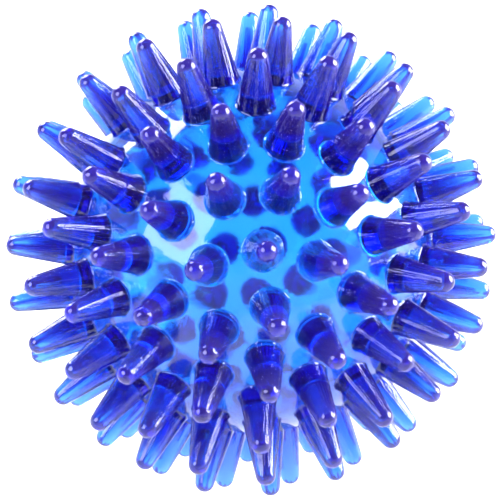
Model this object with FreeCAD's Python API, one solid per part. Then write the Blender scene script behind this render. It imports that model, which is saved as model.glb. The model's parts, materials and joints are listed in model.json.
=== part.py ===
"""Spiky massage ball: two hollow shell halves, solid rounded spikes rooted in their walls, and an air valve.

Millimetres. The origin is the ball's centre and +Z is up. The moulding axis is Y: the halves meet in the XZ plane,
the front half is on -Y and the rear half on +Y.
"""
import FreeCAD, Part
import math
import os

# Driving dimensions
OVERALL_DIAMETER = 90.0
BODY_DIAMETER = 67.0
WALL = 2.4
LAP_LENGTH = 1.0

SPIKE_ROOT_DIAMETER = 6.5
SPIKE_TIP_DIAMETER = 3.5
SOCKET_DEPTH = 1.4

# Each half has rings of spikes, one ring step apart from pole to parting line, and none lies on the line itself.
# A ring's phase turns it about the moulding axis.
RINGS_PER_HALF = 5
RING_STEP = 180.0 / (2 * RINGS_PER_HALF + 1)
LARGEST_RING_COUNT = 22
FRONT_RING_PHASES = (0.0, 24.0, 0.0, -2.5, 9.0, 7.0)
REAR_RING_PHASES = (0.0, 49.0, 20.0, 1.5, 11.0, 0.0)

# The valve sits in a bare patch of the rear half, measured from the rear pole and from +X towards +Z.
VALVE_POLAR = 57.1
VALVE_AZIMUTH = 181.8
VALVE_SLEEVE_DIAMETER = 5.0
VALVE_LENGTH = 8.0
VALVE_FLANGE_DIAMETER = 8.0
VALVE_FLANGE_THICKNESS = 1.2
VALVE_BORE_DIAMETER = 3.0
VALVE_SEAT_DIAMETER = 4.0
VALVE_SEAT_DEPTH = 1.0
STOPPER_CLEARANCE = 0.05
STOPPER_HEAD_THICKNESS = 0.8
STOPPER_CROWN_HEIGHT = 0.3
STOPPER_NOSE_LENGTH = 0.8
STOPPER_NOSE_RADIUS = 0.9
STOPPER_LENGTH = 7.4

# Worked out from the driving dimensions
OVERALL_RADIUS = OVERALL_DIAMETER / 2
BODY_RADIUS = BODY_DIAMETER / 2
INNER_RADIUS = BODY_RADIUS - WALL
LAP_RADIUS = (BODY_RADIUS + INNER_RADIUS) / 2
ROOT_RADIUS = SPIKE_ROOT_DIAMETER / 2
TIP_RADIUS = SPIKE_TIP_DIAMETER / 2
SOCKET_FLOOR = BODY_RADIUS - SOCKET_DEPTH
ROOT_LINE = math.sqrt(BODY_RADIUS ** 2 - ROOT_RADIUS ** 2)
VALVE_TOP = math.sqrt(BODY_RADIUS ** 2 - (VALVE_SLEEVE_DIAMETER / 2) ** 2)

ORIGIN = FreeCAD.Vector(0, 0, 0)
MOULDING_AXIS = FreeCAD.Vector(0, 1, 0)
SPIKE_AXIS = FreeCAD.Vector(0, 0, 1)


def direction(polar, azimuth, pole_sign):
    """Unit vector at a polar angle from the front (-1) or rear (+1) pole and an azimuth from +X towards +Z."""
    polar, azimuth = math.radians(polar), math.radians(azimuth)
    reach = math.sin(polar)
    return FreeCAD.Vector(reach * math.cos(azimuth), pole_sign * math.cos(polar), reach * math.sin(azimuth))


def revolve(points, axis):
    """Solid of revolution of an outline given as points, with None before the middle point of an arc."""
    edges = []
    start = points[0]
    index = 1
    while index < len(points):
        if points[index] is None:
            edges.append(Part.Arc(start, points[index + 1], points[index + 2]).toShape())
            index += 2
        else:
            edges.append(Part.LineSegment(start, points[index]).toShape())
        start = points[index]
        index += 1
    edges.append(Part.LineSegment(start, points[0]).toShape())
    return Part.makeSolid(Part.Face(Part.Wire(edges)).revolve(ORIGIN, axis, 360))


def aimed(shape, target):
    """Copy of a shape built along +Z, turned about the ball's centre to point along target."""
    copy = shape.copy()
    copy.Placement = FreeCAD.Placement(ORIGIN, FreeCAD.Rotation(SPIKE_AXIS, target))
    return copy


def ring_count(ring):
    """How many spikes keep the largest ring's spacing on this ring; the pole has one."""
    return max(1, round(LARGEST_RING_COUNT * math.sin(math.radians(ring * RING_STEP))))


def ring_directions(ring, pole_sign):
    """Unit vectors of a ring's spikes on the front (-1) or rear (+1) half."""
    count = ring_count(ring)
    phase = (FRONT_RING_PHASES if pole_sign < 0 else REAR_RING_PHASES)[ring]
    return [direction(ring * RING_STEP, phase + index * 360.0 / count, pole_sign) for index in range(count)]


def spike():
    """One spike along +Z: a plug below the shell's surface, a tapered body and a round tip."""
    tip_centre = OVERALL_RADIUS - TIP_RADIUS
    lean = math.atan2(ROOT_RADIUS - TIP_RADIUS, tip_centre - ROOT_LINE)
    for _ in range(4):
        rise = tip_centre + TIP_RADIUS * math.sin(lean) - ROOT_LINE
        lean = math.atan2(ROOT_RADIUS - TIP_RADIUS * math.cos(lean), rise)

    def on_tip(angle):
        return FreeCAD.Vector(TIP_RADIUS * math.cos(angle), 0, tip_centre + TIP_RADIUS * math.sin(angle))

    return revolve([
        FreeCAD.Vector(0, 0, SOCKET_FLOOR),
        FreeCAD.Vector(ROOT_RADIUS, 0, SOCKET_FLOOR),
        FreeCAD.Vector(ROOT_RADIUS, 0, ROOT_LINE),
        on_tip(lean),
        None, on_tip((lean + math.pi / 2) / 2), on_tip(math.pi / 2),
    ], SPIKE_AXIS)


def socket():
    """Cutter for the blind hole that a spike's plug fills."""
    return Part.makeCylinder(ROOT_RADIUS, BODY_RADIUS - SOCKET_FLOOR + 1.0, FreeCAD.Vector(0, 0, SOCKET_FLOOR))


def half_shell(pole_sign):
    """Hollow half ball. The front half (-1) has the lap's inner lip, and the rear half (+1) the recess for it."""
    def point(radius, height):
        return FreeCAD.Vector(radius, height, 0)

    def on_sphere(radius, degrees):
        angle = math.radians(degrees)
        return point(radius * math.cos(angle), pole_sign * radius * math.sin(angle))

    lip_angle = 0.0 if pole_sign < 0 else math.degrees(math.asin(LAP_LENGTH / INNER_RADIUS))
    outline = [
        on_sphere(BODY_RADIUS, 90),
        None, on_sphere(BODY_RADIUS, 45), on_sphere(BODY_RADIUS, 0),
        point(LAP_RADIUS, 0),
        point(LAP_RADIUS, LAP_LENGTH),
    ]
    if pole_sign < 0:
        outline.append(point(INNER_RADIUS, LAP_LENGTH))
    outline += [
        on_sphere(INNER_RADIUS, lip_angle),
        None, on_sphere(INNER_RADIUS, (90 + lip_angle) / 2), on_sphere(INNER_RADIUS, 90),
    ]
    sockets = [
        aimed(socket(), target)
        for ring in range(RINGS_PER_HALF + 1)
        for target in ring_directions(ring, pole_sign)
    ]
    return revolve(outline, MOULDING_AXIS).cut(sockets)


def valve_hole():
    """Cutter for the hole through the rear half's wall."""
    hole = Part.makeCylinder(VALVE_SLEEVE_DIAMETER / 2, 2 * WALL, FreeCAD.Vector(0, 0, BODY_RADIUS - 1.5 * WALL))
    return aimed(hole, direction(VALVE_POLAR, VALVE_AZIMUTH, 1))


def valve_boss():
    """Sleeve through the wall, flanged on the inside, with a seat at its mouth for the stopper's head."""
    bore = VALVE_BORE_DIAMETER / 2
    sleeve = VALVE_SLEEVE_DIAMETER / 2
    seat = VALVE_SEAT_DIAMETER / 2
    flange = VALVE_FLANGE_DIAMETER / 2
    flange_top = math.sqrt(INNER_RADIUS ** 2 - flange ** 2)
    flange_bottom = flange_top - VALVE_FLANGE_THICKNESS
    bottom = VALVE_TOP - VALVE_LENGTH
    outline = [
        (bore, bottom),
        (sleeve, bottom),
        (sleeve, flange_bottom),
        (flange, flange_bottom),
        (flange, flange_top),
        (sleeve, flange_top),
        (sleeve, VALVE_TOP),
        (seat, VALVE_TOP),
        (seat, VALVE_TOP - VALVE_SEAT_DEPTH),
        (bore, VALVE_TOP - VALVE_SEAT_DEPTH),
    ]
    boss = revolve([FreeCAD.Vector(radius, 0, height) for radius, height in outline], SPIKE_AXIS)
    return aimed(boss, direction(VALVE_POLAR, VALVE_AZIMUTH, 1))


def valve_stopper():
    """Push-in plug: crowned head in the seat, straight shank in the bore and a tapered nose."""
    head = VALVE_SEAT_DIAMETER / 2 - STOPPER_CLEARANCE
    shank = VALVE_BORE_DIAMETER / 2 - STOPPER_CLEARANCE
    under_head = VALVE_TOP - VALVE_SEAT_DEPTH
    head_edge = under_head + STOPPER_HEAD_THICKNESS
    crown = head_edge + STOPPER_CROWN_HEIGHT
    nose = under_head - STOPPER_LENGTH
    crown_radius = (head ** 2 + STOPPER_CROWN_HEIGHT ** 2) / (2 * STOPPER_CROWN_HEIGHT)
    crown_half = math.asin(head / crown_radius) / 2
    crown_middle = FreeCAD.Vector(
        crown_radius * math.sin(crown_half), 0, crown - crown_radius * (1 - math.cos(crown_half))
    )
    plug = revolve([
        FreeCAD.Vector(0, 0, nose),
        FreeCAD.Vector(STOPPER_NOSE_RADIUS, 0, nose),
        FreeCAD.Vector(shank, 0, nose + STOPPER_NOSE_LENGTH),
        FreeCAD.Vector(shank, 0, under_head),
        FreeCAD.Vector(head, 0, under_head),
        FreeCAD.Vector(head, 0, head_edge),
        None, crown_middle, FreeCAD.Vector(0, 0, crown),
    ], SPIKE_AXIS)
    return aimed(plug, direction(VALVE_POLAR, VALVE_AZIMUTH, 1))


def spike_nodes(half_name, pole_sign):
    """The half's spikes, one node for the pole spike and one for each ring."""
    nodes = {}
    for ring in range(RINGS_PER_HALF + 1):
        name = f"{half_name}_spikes_ring_{ring}" if ring else f"{half_name}_pole_spike"
        nodes[name] = Part.makeCompound([aimed(spike(), target) for target in ring_directions(ring, pole_sign)])
    return nodes


def main():
    nodes = {
        "front_shell": half_shell(-1),
        "rear_shell": half_shell(1).cut(valve_hole()),
        "valve_boss": valve_boss(),
        "valve_stopper": valve_stopper(),
    }
    nodes.update(spike_nodes("front", -1))
    nodes.update(spike_nodes("rear", 1))
    os.makedirs("parts", exist_ok=True)
    for name, shape in nodes.items():
        shape.exportStep(f"parts/{name}.step")
        print(f"{name}: {len(shape.Solids)} solids, {shape.Volume:.1f} mm3, valid {shape.isValid()}")


main()
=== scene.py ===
"""Looks of the spiky massage ball: clear tinted PVC shell halves, fluted solid spikes and an air valve."""
import json
import math

import bpy
import numpy as np
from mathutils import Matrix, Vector
from mathutils.geometry import delaunay_2d_cdt


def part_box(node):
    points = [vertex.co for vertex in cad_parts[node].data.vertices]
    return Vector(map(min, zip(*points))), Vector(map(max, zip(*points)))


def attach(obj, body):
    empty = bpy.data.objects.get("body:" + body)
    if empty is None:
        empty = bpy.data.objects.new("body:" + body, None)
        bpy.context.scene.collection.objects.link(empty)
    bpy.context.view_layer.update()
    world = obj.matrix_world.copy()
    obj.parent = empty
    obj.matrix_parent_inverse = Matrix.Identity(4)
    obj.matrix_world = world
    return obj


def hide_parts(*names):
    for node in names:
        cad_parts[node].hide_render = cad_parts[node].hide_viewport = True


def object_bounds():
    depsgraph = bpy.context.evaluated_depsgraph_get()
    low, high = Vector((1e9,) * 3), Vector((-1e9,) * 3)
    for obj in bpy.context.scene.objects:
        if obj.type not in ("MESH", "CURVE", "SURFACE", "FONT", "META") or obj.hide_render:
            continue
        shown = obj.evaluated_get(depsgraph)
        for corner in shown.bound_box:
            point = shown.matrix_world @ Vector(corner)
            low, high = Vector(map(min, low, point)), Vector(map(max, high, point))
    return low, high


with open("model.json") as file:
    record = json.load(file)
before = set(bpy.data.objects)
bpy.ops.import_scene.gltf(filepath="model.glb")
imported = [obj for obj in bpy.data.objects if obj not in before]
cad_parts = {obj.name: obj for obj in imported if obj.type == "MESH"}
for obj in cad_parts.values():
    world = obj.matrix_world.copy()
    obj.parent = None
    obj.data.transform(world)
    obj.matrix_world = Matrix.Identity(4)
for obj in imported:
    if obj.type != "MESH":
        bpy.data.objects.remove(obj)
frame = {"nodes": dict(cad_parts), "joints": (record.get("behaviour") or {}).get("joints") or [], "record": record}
cad_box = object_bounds()

MM = 0.001

# Sizes read from the frame
shell_low, shell_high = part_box("front_shell")
pole_low, pole_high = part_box("front_pole_spike")
BODY_RADIUS = (shell_high.x - shell_low.x) / 2
LAP_LENGTH = shell_high.y
OVERALL_RADIUS = -pole_low.y
SOCKET_FLOOR = -pole_high.y
ROOT_RADIUS = (pole_high.x - pole_low.x) / 2


def vertices_of(node):
    """Vertex positions of a CAD node, one row each."""
    mesh = frame["nodes"][node].data
    co = np.empty(len(mesh.vertices) * 3)
    mesh.vertices.foreach_get("co", co)
    return co.reshape(-1, 3)


INNER_RADIUS = float(np.linalg.norm(vertices_of("front_shell"), axis=1).min())
LAP_RADIUS = (BODY_RADIUS + INNER_RADIUS) / 2
ROOT_LINE = math.sqrt(BODY_RADIUS ** 2 - ROOT_RADIUS ** 2)
TIP_RADIUS = 1.75 * MM

# The valve's axis is the stopper's slide, and its sizes are the boss's and stopper's own
VALVE_AXIS = np.array(frame["joints"][0]["axis"], float)
VALVE_AXIS /= np.linalg.norm(VALVE_AXIS)
SLEEVE_RADIUS = 2.5 * MM
BORE_RADIUS = 1.5 * MM
SEAT_RADIUS = 2.0 * MM
SEAT_DEPTH = 1.0 * MM
FLANGE_RADIUS = 4.0 * MM
FLANGE_THICKNESS = 1.2 * MM
VALVE_LENGTH = 8.0 * MM
VALVE_TOP = math.sqrt(BODY_RADIUS ** 2 - SLEEVE_RADIUS ** 2)
CLEARANCE = 0.05 * MM
STOPPER_LENGTH = 7.4 * MM
STOPPER_HEAD_THICKNESS = 0.8 * MM
STOPPER_CROWN_HEIGHT = 0.3 * MM
STOPPER_NOSE_LENGTH = 0.8 * MM
STOPPER_NOSE_RADIUS = 0.9 * MM

# Mesh detail
FLUTES = 28
SEGMENTS = 3 * FLUTES
OUTER_SPACING = 1.1 * MM
INNER_SPACING = 0.9 * MM
FLUTE_DEPTH = 0.1 * MM
FILLET_WIDTH = 0.4 * MM
FILLET_HEIGHT = 0.7 * MM
FILLET_RINGS = 4
SINK_DEPTH = 0.5 * MM
SINK_WIDTH = 1.8 * MM
EDGE_COUNT = 240
CONE_RINGS = 12
CAP_RINGS = 8
VALVE_BEVEL = 0.08 * MM
CROWN_RINGS = 5

# Absorption of the tinted PVC per millimetre. Red and blue keep a weak part that long ways hardly absorb,
# given as (share, rate).
RED_RATE = 1.0
RED_DEEP = (0.004, 0.02)
BLUE_RATE = 0.17
BLUE_DEEP = (0.45, 0.02)
PVC_IOR = 1.53
GLOW_COLOUR = (0.1, 0.035, 0.78, 1)
DEPTH_COLOUR = (0.06, 0.02, 0.42, 1)
BLOOM_COLOUR = (0.58, 0.42, 0.95, 1)
SHADOW_COLOUR = (0.62, 0.74, 0.96, 1)

# The lens fits a sensor 36 mm wide
CAMERA_AZIMUTH = -4.3
CAMERA_ELEVATION = 33.1
CAMERA_LENS = 138.7
CAMERA_DISTANCE = 10.58 * BODY_RADIUS

SURFACE, BOND = 0, 1  # material slots: what is seen, and faces bonded to the next piece


def frame_of(axis):
    """Two unit vectors square to axis and to each other."""
    helper = np.array([0.0, 0.0, 1.0]) if abs(axis[2]) < 0.9 else np.array([1.0, 0.0, 0.0])
    first = np.cross(helper, axis)
    first /= np.linalg.norm(first)
    return first, np.cross(axis, first)


def circle(axis, radius, height, count):
    """Points of a circle round axis, at a height along it."""
    first, second = frame_of(axis)
    turn = np.arange(count) * 2 * math.pi / count
    return height * axis + radius * (np.cos(turn)[:, None] * first + np.sin(turn)[:, None] * second)


def spike_axes(node):
    """Unit axes of a node's spikes, from the vertex at each apex."""
    co = vertices_of(node)
    reach = np.linalg.norm(co, axis=1)
    apexes = co[reach > OVERALL_RADIUS - 0.004 * MM]
    axes = []
    for apex in apexes / np.linalg.norm(apexes, axis=1)[:, None]:
        if all(axis @ apex < 0.9999 for axis in axes):
            axes.append(apex)
    return axes


def make_piece(name, points, faces, slots, materials, node):
    """Smooth mesh piece whose normals come from its visible faces, standing for a CAD node."""
    points = np.asarray(points, float)
    normals = np.zeros_like(points)
    for face, kind in zip(faces, slots):
        if kind == SURFACE:
            a, b, c = points[face[0]], points[face[1]], points[face[2]]
            normal = np.cross(b - a, c - a)
            for corner in face:
                normals[corner] += normal
    lengths = np.linalg.norm(normals, axis=1)
    normals[lengths > 0] /= lengths[lengths > 0][:, None]
    mesh = bpy.data.meshes.new(name)
    mesh.from_pydata(points.tolist(), [], faces)
    mesh.polygons.foreach_set("material_index", slots)
    mesh.polygons.foreach_set("use_smooth", [True] * len(faces))
    for material in materials:
        mesh.materials.append(material)
    mesh.update()
    mesh.normals_split_custom_set_from_vertices(normals.tolist())
    piece = bpy.data.objects.new(name, mesh)
    bpy.context.scene.collection.objects.link(piece)
    body = next(b for b, nodes in frame["record"]["behaviour"]["bodies"].items() if node in nodes)
    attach(piece, body)
    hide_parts(node)
    return piece


def lathe(axis, outline, count):
    """Closed surface turned round axis.

    Outline rows are (radius, height, slot of the band that starts there).
    """
    points, rings, faces, slots = [], [], [], []
    for radius, height, _ in outline:
        if radius == 0:
            rings.append([len(points)])
            points.append(height * axis)
        else:
            rings.append(list(range(len(points), len(points) + count)))
            points.extend(circle(axis, radius, height, count))
    closed = outline[0][0] != 0
    for index, row in enumerate(outline):
        if index == len(outline) - 1 and not closed:
            break
        low, high = rings[index], rings[(index + 1) % len(rings)]
        for k in range(count):
            n = (k + 1) % count
            if len(low) == 1:
                faces.append((low[0], high[n], high[k]))
            elif len(high) == 1:
                faces.append((low[k], low[n], high[0]))
            else:
                faces.append((low[k], low[n], high[n], high[k]))
            slots.append(row[2])
    return points, faces, slots


# Spikes


def smooth(low, high, value):
    """0 below low, 1 above high, and a smooth rise between."""
    t = min(1.0, max(0.0, (value - low) / (high - low)))
    return t * t * (3 - 2 * t)


def spike_outline():
    """(radius, height, slot) from the plug's floor to the apex."""
    tip_centre = OVERALL_RADIUS - TIP_RADIUS
    start = (ROOT_RADIUS, ROOT_LINE + FILLET_HEIGHT)
    lean = math.atan2(start[0] - TIP_RADIUS, tip_centre - start[1])
    end = (TIP_RADIUS * math.cos(lean), tip_centre + TIP_RADIUS * math.sin(lean))
    rows = [(0, SOCKET_FLOOR, BOND), (ROOT_RADIUS, SOCKET_FLOOR, BOND), (*start, SURFACE)]
    for step in range(1, CONE_RINGS):
        t = (step / CONE_RINGS) ** 1.2
        rows.append((start[0] + (end[0] - start[0]) * t, start[1] + (end[1] - start[1]) * t, SURFACE))
    for step in range(CAP_RINGS):
        turn = lean + (math.pi / 2 - lean) * step / CAP_RINGS
        rows.append((TIP_RADIUS * math.cos(turn), tip_centre + TIP_RADIUS * math.sin(turn), SURFACE))
    rows.append((0, OVERALL_RADIUS, SURFACE))
    return rows


def spike_template():
    """One spike along +Z with its flutes pressed in, ready to be copied along each axis."""
    points, faces, slots = lathe(np.array([0.0, 0.0, 1.0]), spike_outline(), SEGMENTS)
    points = np.array(points)
    base = ROOT_LINE + FILLET_HEIGHT
    for row in points:
        radius = math.hypot(row[0], row[1])
        if radius == 0 or row[2] <= base + 1e-7:
            continue
        t = (row[2] - base) / (OVERALL_RADIUS - base)
        fade = smooth(0.0, 0.06, t) * (1 - smooth(0.6, 0.88, t))
        wave = 0.5 - 0.5 * math.cos(FLUTES * math.atan2(row[1], row[0]))
        row[:2] *= 1 - FLUTE_DEPTH * fade * wave / radius
    return points, faces, slots


def make_spikes(node, template, materials):
    """All the spikes of a CAD node as one piece of separate closed solids."""
    points, faces, slots = template
    all_points, all_faces, all_slots = [], [], []
    axes = spike_axes(node)
    for number, axis in enumerate(axes):
        first, second = frame_of(axis)
        offset = number * len(points)
        all_points.append(points @ np.array([first, second, axis]))
        all_faces.extend(tuple(corner + offset for corner in face) for face in faces)
        all_slots.extend(slots)
    name = node + "_clear"
    piece = make_piece(name, np.concatenate(all_points), all_faces, all_slots, materials, node)
    own_space = piece.data.attributes.new("own_space", "FLOAT_VECTOR", "POINT")
    shifted = [points / MM + (0, 0, 40.0 * number) for number in range(len(axes))]
    own_space.data.foreach_set("vector", np.concatenate(shifted).ravel())
    return piece


# Shell halves


def fibonacci_half(pole_sign, spacing, radius):
    """Evenly spread unit vectors over one half of a sphere."""
    count = int(4 * math.pi * radius ** 2 / (spacing ** 2 * 0.87))
    index = np.arange(count) + 0.5
    height = 1 - 2 * index / count
    turn = math.pi * (1 + math.sqrt(5)) * index
    reach = np.sqrt(1 - height ** 2)
    points = np.stack([reach * np.cos(turn), height, reach * np.sin(turn)], 1)
    return points[points[:, 1] * pole_sign > 0]


def sphere_patch(pole_sign, radius, spacing, holes, edge_count):
    """Triangles over half a sphere.

    The first edge_count points are its edge, then come each hole's rim points.
    A hole is (unit axis, rim points).
    The half is flattened by a stereographic map, which keeps circles round.
    """
    turn = np.arange(edge_count) * 2 * math.pi / edge_count
    edge = np.stack([np.cos(turn), np.zeros(edge_count), np.sin(turn)], 1)
    spread = fibonacci_half(pole_sign, spacing, radius)
    gap = 0.55 * spacing / radius
    keep = spread[:, 1] * pole_sign > gap
    for axis, rim in holes:
        reach = math.acos(min(1.0, float(rim[0] @ axis) / float(np.linalg.norm(rim[0]))))
        keep &= spread @ axis < math.cos(reach + gap)
    unit_rims = [rim / np.linalg.norm(rim, axis=1)[:, None] for _, rim in holes]
    directions = np.concatenate([edge] + unit_rims + [spread[keep]])
    depth = 1 + directions[:, 1] * pole_sign
    flat = [Vector((x, z)) for x, z in zip(directions[:, 0] / depth, directions[:, 2] / depth)]
    loops, start = [], 0
    for count in [edge_count] + [len(rim) for rim in unit_rims]:
        loops.append((start, count))
        start += count
    edges = [(first + k, first + (k + 1) % count) for first, count in loops for k in range(count)]
    out_points, _, out_faces, origins, _, _ = delaunay_2d_cdt(flat, edges, [], 0, 1e-7)
    source = [ids[0] for ids in origins]
    hole_of = np.full(len(directions), -1)
    for number, (first, count) in enumerate(loops[1:]):
        hole_of[first:first + count] = number
    faces = []
    for face in out_faces:
        corners = [source[corner] for corner in face]
        owners = {int(hole_of[corner]) for corner in corners}
        if len(owners) == 1 and -1 not in owners:
            continue
        a, b, c = (directions[corner] for corner in corners)
        if np.cross(b - a, c - a) @ a < 0:
            corners.reverse()
        faces.append(tuple(corners))
    return directions * radius, faces, loops


def fillet_ring(axis, step):
    """Ring of the concave fillet round a spike's root: step 0 lies on the skin, the last meets the spike."""
    turn = math.pi / 2 * step / FILLET_RINGS
    radius = ROOT_RADIUS + FILLET_WIDTH * (1 - math.sin(turn))
    skin = math.sqrt(BODY_RADIUS ** 2 - radius ** 2)
    return circle(axis, radius, skin + FILLET_HEIGHT * (1 - math.cos(turn)), SEGMENTS)


def sunk(points, spikes):
    """Inner skin, drawn outwards behind each thick spike root as moulded PVC shrinks."""
    directions = points / np.linalg.norm(points, axis=1)[:, None]
    depth = np.zeros(len(points))
    for axis in spikes:
        away = INNER_RADIUS * np.arccos(np.clip(directions @ axis, -1, 1))
        depth += SINK_DEPTH * np.exp(-(away / SINK_WIDTH) ** 2)
    return points + directions * depth[:, None]


def make_shell(name, pole_sign, materials):
    """One hollow half: outer skin with a socket for every spike, the joint's faces, and the inner skin."""
    half = name.split("_")[0]
    nodes = [node for node in sorted(frame["nodes"]) if node.startswith(half) and "spike" in node]
    spikes = [axis for node in nodes for axis in spike_axes(node)]
    holes = [(axis, fillet_ring(axis, 0)) for axis in spikes]
    inner_holes = []
    if pole_sign > 0:
        inner_top = math.sqrt(INNER_RADIUS ** 2 - SLEEVE_RADIUS ** 2)
        holes.append((VALVE_AXIS, circle(VALVE_AXIS, SLEEVE_RADIUS, VALVE_TOP, SEGMENTS)))
        inner_holes.append((VALVE_AXIS, circle(VALVE_AXIS, SLEEVE_RADIUS, inner_top, SEGMENTS)))
    outer, faces, loops = sphere_patch(pole_sign, BODY_RADIUS, OUTER_SPACING, holes, EDGE_COUNT)
    for (first, count), (_, rim) in zip(loops[1:], holes):
        outer[first:first + count] = rim
    inner, inner_faces, inner_loops = sphere_patch(
        pole_sign, INNER_RADIUS, INNER_SPACING, inner_holes, EDGE_COUNT
    )
    inner_start = len(outer)
    points = [outer, sunk(inner, spikes)]
    slots = [SURFACE] * (len(faces) + len(inner_faces))
    faces += [tuple(corner + inner_start for corner in reversed(face)) for face in inner_faces]
    total = len(outer) + len(inner)

    def bridge(low, high, kind):
        for k in range(len(low)):
            n = (k + 1) % len(low)
            faces.append((low[k], low[n], high[n], high[k]))
            slots.append(kind)

    for (first, count), axis in zip(loops[1:], spikes):
        ring = list(range(first, first + count))
        for step in range(1, FILLET_RINGS + 1):
            above = list(range(total, total + count))
            points.append(fillet_ring(axis, step))
            bridge(ring, above, SURFACE)
            ring = above
            total += count
        floor = list(range(total, total + count))
        points.append(circle(axis, ROOT_RADIUS, SOCKET_FLOOR, count))
        points.append((SOCKET_FLOOR * axis)[None, :])
        bridge(ring, floor, BOND)
        centre = total + count
        for k in range(count):
            faces.append((floor[k], floor[(k + 1) % count], centre))
            slots.append(BOND)
        total += count + 1
    if pole_sign > 0:
        first, count = loops[-1]
        inner_first = inner_loops[1][0] + inner_start
        bridge(list(range(first, first + count)), list(range(inner_first, inner_first + count)), BOND)
    outer_edge = list(range(EDGE_COUNT))
    inner_edge = list(range(inner_start, inner_start + EDGE_COUNT))
    if pole_sign < 0:
        outer_edge, inner_edge = inner_edge, outer_edge
    bridge(outer_edge, inner_edge, BOND)
    return make_piece(name + "_clear", np.concatenate(points), faces, slots, materials, name)


# Valve


def bevelled(outline):
    """Outline with each corner cut back along both of its sides. Points on the axis stay."""
    rows = []
    for index, (radius, height, kind) in enumerate(outline):
        if radius == 0:
            rows.append((radius, height, kind))
            continue
        sides = (outline[index - 1], SURFACE), (outline[(index + 1) % len(outline)], kind)
        for (other_radius, other_height, _), band in sides:
            across, along = other_radius - radius, other_height - height
            share = min(0.3, VALVE_BEVEL / math.hypot(across, along))
            rows.append((radius + across * share, height + along * share, band))
    return rows


def make_boss(materials):
    """Sleeve through the rear wall with an inside flange, and a seat at its mouth."""
    inner_edge = math.sqrt(INNER_RADIUS ** 2 - SLEEVE_RADIUS ** 2)
    flange_top = math.sqrt(INNER_RADIUS ** 2 - FLANGE_RADIUS ** 2)
    flange_bottom = flange_top - FLANGE_THICKNESS
    bottom = VALVE_TOP - VALVE_LENGTH
    seat_floor = VALVE_TOP - SEAT_DEPTH
    outline = [
        (BORE_RADIUS, seat_floor, SURFACE),
        (BORE_RADIUS, bottom, SURFACE),
        (SLEEVE_RADIUS, bottom, SURFACE),
        (SLEEVE_RADIUS, flange_bottom, SURFACE),
        (FLANGE_RADIUS, flange_bottom, SURFACE),
        (FLANGE_RADIUS, flange_top, SURFACE),
        (SLEEVE_RADIUS, inner_edge, BOND),
        (SLEEVE_RADIUS, VALVE_TOP, SURFACE),
        (SEAT_RADIUS, VALVE_TOP, SURFACE),
        (SEAT_RADIUS, seat_floor, SURFACE),
    ]
    points, faces, slots = lathe(VALVE_AXIS, bevelled(outline), SEGMENTS)
    return make_piece("valve_boss_clear", points, faces, slots, materials, "valve_boss")


def make_stopper(materials):
    """Push-in plug with a crowned head, a straight shank and a tapered nose."""
    seat_floor = VALVE_TOP - SEAT_DEPTH
    head = SEAT_RADIUS - CLEARANCE
    shank = BORE_RADIUS - CLEARANCE
    nose = seat_floor - STOPPER_LENGTH
    head_edge = seat_floor + STOPPER_HEAD_THICKNESS
    side = bevelled([
        (0, nose, SURFACE),
        (STOPPER_NOSE_RADIUS, nose, SURFACE),
        (shank, nose + STOPPER_NOSE_LENGTH, SURFACE),
        (shank, seat_floor, SURFACE),
        (head, seat_floor, SURFACE),
        (head, head_edge, SURFACE),
        (0, head_edge, SURFACE),
    ])
    crown = []
    for step in range(CROWN_RINGS, -1, -1):
        radius = side[-2][0] * step / CROWN_RINGS
        crown.append((radius, head_edge + STOPPER_CROWN_HEIGHT * (1 - (radius / head) ** 2), SURFACE))
    points, faces, slots = lathe(VALVE_AXIS, side[:-2] + crown, SEGMENTS)
    return make_piece("valve_stopper_clear", points, faces, slots, materials, "valve_stopper")


# Materials


def math_node(tree, operation, first, second=None):
    """A math node fed by sockets or numbers."""
    node = tree.nodes.new("ShaderNodeMath")
    node.operation = operation
    for index, value in enumerate((first, second)):
        if isinstance(value, (int, float)):
            node.inputs[index].default_value = value
        elif value is not None:
            tree.links.new(value, node.inputs[index])
    return node.outputs[0]


def empty_tree(owner):
    """The emptied node tree of a material or world."""
    owner.use_nodes = True
    owner.node_tree.nodes.clear()
    return owner.node_tree


def add_node(tree, kind, inputs):
    """A node whose inputs, given by name or number, are set to values or fed by sockets."""
    node = tree.nodes.new(kind)
    for key, value in inputs.items():
        if isinstance(value, bpy.types.NodeSocket):
            tree.links.new(value, node.inputs[key])
        else:
            node.inputs[key].default_value = value
    return node


def mixed(tree, share, first, second):
    """First shader with a share of the second."""
    return add_node(tree, "ShaderNodeMixShader", {0: share, 1: first, 2: second}).outputs[0]


def map_range(tree, value, source, target, interpolation="LINEAR"):
    """Value carried from the source range to the target range, and held at its ends."""
    node = add_node(tree, "ShaderNodeMapRange", {
        "Value": value,
        "From Min": source[0],
        "From Max": source[1],
        "To Min": target[0],
        "To Max": target[1],
    })
    node.interpolation_type = interpolation
    return node.outputs[0]


def distance_from_centre(tree):
    """Distance from the object's origin, which is the ball's centre."""
    place = tree.nodes.new("ShaderNodeTexCoord")
    reach = add_node(tree, "ShaderNodeVectorMath", {0: place.outputs["Object"]})
    reach.operation = "LENGTH"
    return reach.outputs["Value"]


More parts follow.
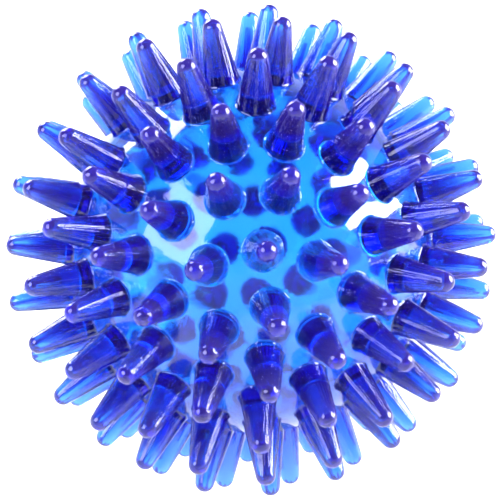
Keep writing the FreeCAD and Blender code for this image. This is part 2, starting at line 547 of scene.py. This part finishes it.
def clear_pvc(name, green_rate, roughness, cloud, haze_socket):
    """Clear tinted PVC, a little cloudy inside and with a faint bloom on its surface.

    Light is absorbed by the length of its way through.
    """
    material = bpy.data.materials.new(name)
    tree = empty_tree(material)
    path = tree.nodes.new("ShaderNodeLightPath")
    backfacing = tree.nodes.new("ShaderNodeNewGeometry").outputs["Backfacing"]
    inside = math_node(tree, "MULTIPLY", path.outputs["Ray Length"], backfacing)

    def passed(share, rate):
        """What is left of a share of the light that is absorbed at a rate per millimetre."""
        left = math_node(tree, "EXPONENT", math_node(tree, "MULTIPLY", inside, -rate / MM))
        return math_node(tree, "MULTIPLY", left, share)

    red = math_node(tree, "ADD", passed(1 - RED_DEEP[0], RED_RATE), passed(*RED_DEEP))
    blue = math_node(tree, "ADD", passed(1 - BLUE_DEEP[0], BLUE_RATE), passed(*BLUE_DEEP))
    tint = add_node(tree, "ShaderNodeCombineColor", {0: red, 1: passed(1.0, green_rate), 2: blue})
    glass = add_node(tree, "ShaderNodeBsdfGlass", {
        "Color": tint.outputs[0], "Roughness": roughness, "IOR": PVC_IOR,
    })
    deep = tree.nodes.new("ShaderNodeMix")
    deep.data_type = "RGBA"
    deep.blend_type = "MULTIPLY"
    deep.inputs[0].default_value = 1.0
    deep.inputs[6].default_value = GLOW_COLOUR
    tree.links.new(blue, deep.inputs[7])
    glow = add_node(tree, "ShaderNodeBsdfTranslucent", {"Color": deep.outputs[2]})
    depth = add_node(tree, "ShaderNodeBsdfDiffuse", {"Color": DEPTH_COLOUR})
    bloom = add_node(tree, "ShaderNodeBsdfDiffuse", {"Color": BLOOM_COLOUR})
    shadow = add_node(tree, "ShaderNodeBsdfTransparent", {"Color": SHADOW_COLOUR})
    cloudy = mixed(tree, backfacing, depth.outputs[0], glow.outputs[0])
    body = mixed(tree, cloud, glass.outputs[0], cloudy)
    outside = math_node(tree, "SUBTRACT", 1.0, backfacing)
    skin = mixed(tree, math_node(tree, "MULTIPLY", outside, haze_socket(tree)), body, bloom.outputs[0])
    seen = mixed(tree, path.outputs["Is Shadow Ray"], skin, shadow.outputs[0])
    add_node(tree, "ShaderNodeOutputMaterial", {"Surface": seen})
    return material


def spike_haze(tree):
    """Bloom on a spike: streaks along it, strongest on its tip."""
    own = tree.nodes.new("ShaderNodeAttribute")
    own.attribute_name = "own_space"
    stretch = add_node(tree, "ShaderNodeVectorMath", {0: own.outputs["Vector"], 1: (2.8, 2.8, 0.05)})
    stretch.operation = "MULTIPLY"
    streaks = add_node(tree, "ShaderNodeTexNoise", {"Vector": stretch.outputs[0], "Detail": 2.0})
    heights = (BODY_RADIUS + 4.5 * MM, OVERALL_RADIUS)
    rise = map_range(tree, distance_from_centre(tree), heights, (0.0005, 0.018), "SMOOTHSTEP")
    uneven = map_range(tree, streaks.outputs["Fac"], (0.35, 0.7), (0.4, 1.8))
    return math_node(tree, "MULTIPLY", rise, uneven)


def shell_haze(tree):
    """Bloom on the shell: faint and cloudy."""
    place = tree.nodes.new("ShaderNodeTexCoord")
    clouds = add_node(tree, "ShaderNodeTexNoise", {
        "Vector": place.outputs["Object"], "Scale": 260.0, "Detail": 4.0,
    })
    return map_range(tree, clouds.outputs["Fac"], (0.4, 0.75), (0.0, 0.008))


def bonded():
    """Faces bonded to the next piece: light passes as if the material went on."""
    material = bpy.data.materials.new("bonded_face")
    tree = empty_tree(material)
    clear = tree.nodes.new("ShaderNodeBsdfTransparent")
    add_node(tree, "ShaderNodeOutputMaterial", {"Surface": clear.outputs[0]})
    return material


# Studio


def make_floor(height):
    """Plain pale floor. Its faint glow grows with distance, where the lamps' light falls away."""
    half = 3.0
    corners = [(-half, -half, height), (half, -half, height), (half, half, height), (-half, half, height)]
    mesh = bpy.data.meshes.new("floor")
    mesh.from_pydata(corners, [], [(0, 1, 2, 3)])
    floor = bpy.data.objects.new("floor", mesh)
    bpy.context.scene.collection.objects.link(floor)
    material = bpy.data.materials.new("pale_floor")
    tree = empty_tree(material)
    rise = map_range(tree, distance_from_centre(tree), (0.25, 1.5), (0.2, 0.7), "SMOOTHSTEP")
    glow = add_node(tree, "ShaderNodeEmission", {"Strength": rise})
    paint = add_node(tree, "ShaderNodeBsdfDiffuse", {"Color": (0.6, 0.6, 0.6, 1)})
    both = add_node(tree, "ShaderNodeAddShader", {0: glow.outputs[0], 1: paint.outputs[0]})
    add_node(tree, "ShaderNodeOutputMaterial", {"Surface": both.outputs[0]})
    mesh.materials.append(material)


def make_world():
    """White studio near the horizon, darker overhead."""
    world = bpy.data.worlds.new("studio")
    bpy.context.scene.world = world
    tree = empty_tree(world)
    place = tree.nodes.new("ShaderNodeTexCoord")
    split = add_node(tree, "ShaderNodeSeparateXYZ", {0: place.outputs["Generated"]})
    ramp = add_node(tree, "ShaderNodeValToRGB", {0: split.outputs["Z"]})
    white, dark = ramp.color_ramp.elements
    white.position = 0.22
    white.color = (1, 1, 1, 1)
    dark.position = 0.5
    dark.color = (0.12, 0.12, 0.13, 1)
    background = add_node(tree, "ShaderNodeBackground", {"Color": ramp.outputs[0], "Strength": 1.0})
    add_node(tree, "ShaderNodeOutputWorld", {0: background.outputs[0]})


def softbox(name, towards, spread, radiance, distance=0.6):
    """Square area lamp that fills the given angle, aimed at the ball."""
    side = 2 * distance * math.tan(math.radians(spread) / 2)
    lamp = bpy.data.lights.new(name, "AREA")
    lamp.shape = "SQUARE"
    lamp.size = side
    lamp.energy = radiance * math.pi * side * side
    box = bpy.data.objects.new(name, lamp)
    towards = Vector(towards).normalized()
    box.location = towards * distance
    box.rotation_mode = "QUATERNION"
    box.rotation_quaternion = towards.to_track_quat("Z", "Y")
    box.visible_camera = False
    bpy.context.scene.collection.objects.link(box)
    return box


def make_camera():
    """Camera at the set viewing angle, aimed at the ball's centre. Azimuth 0 looks along +Y."""
    azimuth, elevation = math.radians(CAMERA_AZIMUTH), math.radians(CAMERA_ELEVATION)
    level = math.cos(elevation)
    back = Vector((math.sin(azimuth) * level, -math.cos(azimuth) * level, math.sin(elevation)))
    data = bpy.data.cameras.new("camera")
    data.sensor_width = 36.0
    data.lens = CAMERA_LENS
    data.clip_start = 0.01
    data.clip_end = 20
    camera = bpy.data.objects.new("camera", data)
    bpy.context.scene.collection.objects.link(camera)
    camera.location = back * CAMERA_DISTANCE
    camera.rotation_mode = "QUATERNION"
    camera.rotation_quaternion = (-back).to_track_quat("-Z", "Y")
    bpy.context.scene.camera = camera


spike_pvc = clear_pvc("spike_pvc", 0.41, 0.045, 0.045, spike_haze)
shell_pvc = clear_pvc("shell_pvc", 0.34, 0.07, 0.01, shell_haze)
bond = bonded()
template = spike_template()
for node in sorted(frame["nodes"]):
    if "spike" in node:
        make_spikes(node, template, (spike_pvc, bond))
make_shell("front_shell", -1, (shell_pvc, bond))
make_shell("rear_shell", 1, (shell_pvc, bond))
make_boss((shell_pvc, bond))
make_stopper((shell_pvc, bond))
make_floor(cad_box[0][2])
make_world()
softbox("right_softbox", (0.91, 0.03, 0.41), 44, 25)
softbox("front_left_softbox", (-0.71, -0.40, 0.58), 36, 8)
softbox("rear_left_softbox", (-0.40, 0.77, 0.49), 32, 15)
overhead = softbox("overhead_softbox", (0.0, 0.12, 1.0), 34, 10)
overhead.visible_glossy = False
overhead.visible_transmission = False
for lamp in bpy.data.lights:
    lamp.use_shadow = lamp.name == "overhead_softbox"
make_camera()
scene = bpy.context.scene
scene.view_settings.view_transform = "Standard"
scene.cycles.max_bounces = 32
scene.cycles.transmission_bounces = 32
scene.cycles.glossy_bounces = 12
scene.cycles.transparent_max_bounces = 48
scene.cycles.caustics_reflective = False
scene.cycles.caustics_refractive = False
scene.cycles.use_denoising = True
